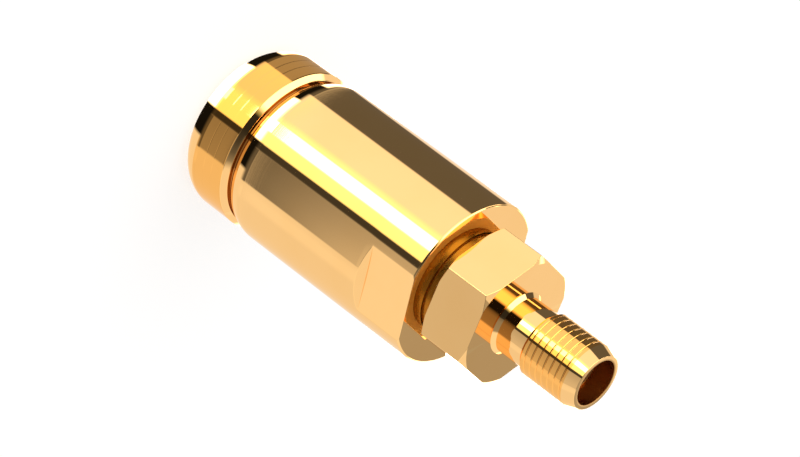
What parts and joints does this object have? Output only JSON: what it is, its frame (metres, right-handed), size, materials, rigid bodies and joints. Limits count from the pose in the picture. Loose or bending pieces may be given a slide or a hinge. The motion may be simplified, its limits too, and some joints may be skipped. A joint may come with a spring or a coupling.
{
  "type": "coax adapter",
  "caption": "Gold-plated coaxial adapter: a plug with a turning coupling nut with wrench flats at one end, a hexagon and a small threaded jack at the other.",
  "frame": {"origin": "centre of the coupling nut's front rim, on which the adapter stands", "axes": "+Z along the axis from the plug's rim up to the jack's mouth, -Y towards the side that the picture shows"},
  "size_m": [0.0164, 0.0164, 0.0449],
  "materials": {
    "gold_plate": "polished gold plate over turned brass",
    "contact_gold": "smooth gold plate over contact metal",
    "spring_bronze": "bare spring bronze",
    "insulator": "white, waxy, machined",
    "dark_insulator": "dark amber-brown, machined",
    "silicone": "soft moulded silicone"
  },
  "bodies": {
    "adapter_body": {"snap_ring": "spring_bronze", "face_gasket": "silicone", "plug_shell": "gold_plate", "outer_contact": "contact_gold", "plug_insulator": "insulator", "plug_pin": "contact_gold", "jack_body": "gold_plate", "jack_insulator": "dark_insulator", "jack_contact": "contact_gold"},
    "coupling_nut": {"coupling_nut": "gold_plate"}
  },
  "joints": [
    {"name": "nut_turn", "type": "hinge", "parent": "adapter_body", "child": "coupling_nut", "pos_m": [0, 0, 0], "axis": [0, 0, 1], "continuous": true}
  ]
}
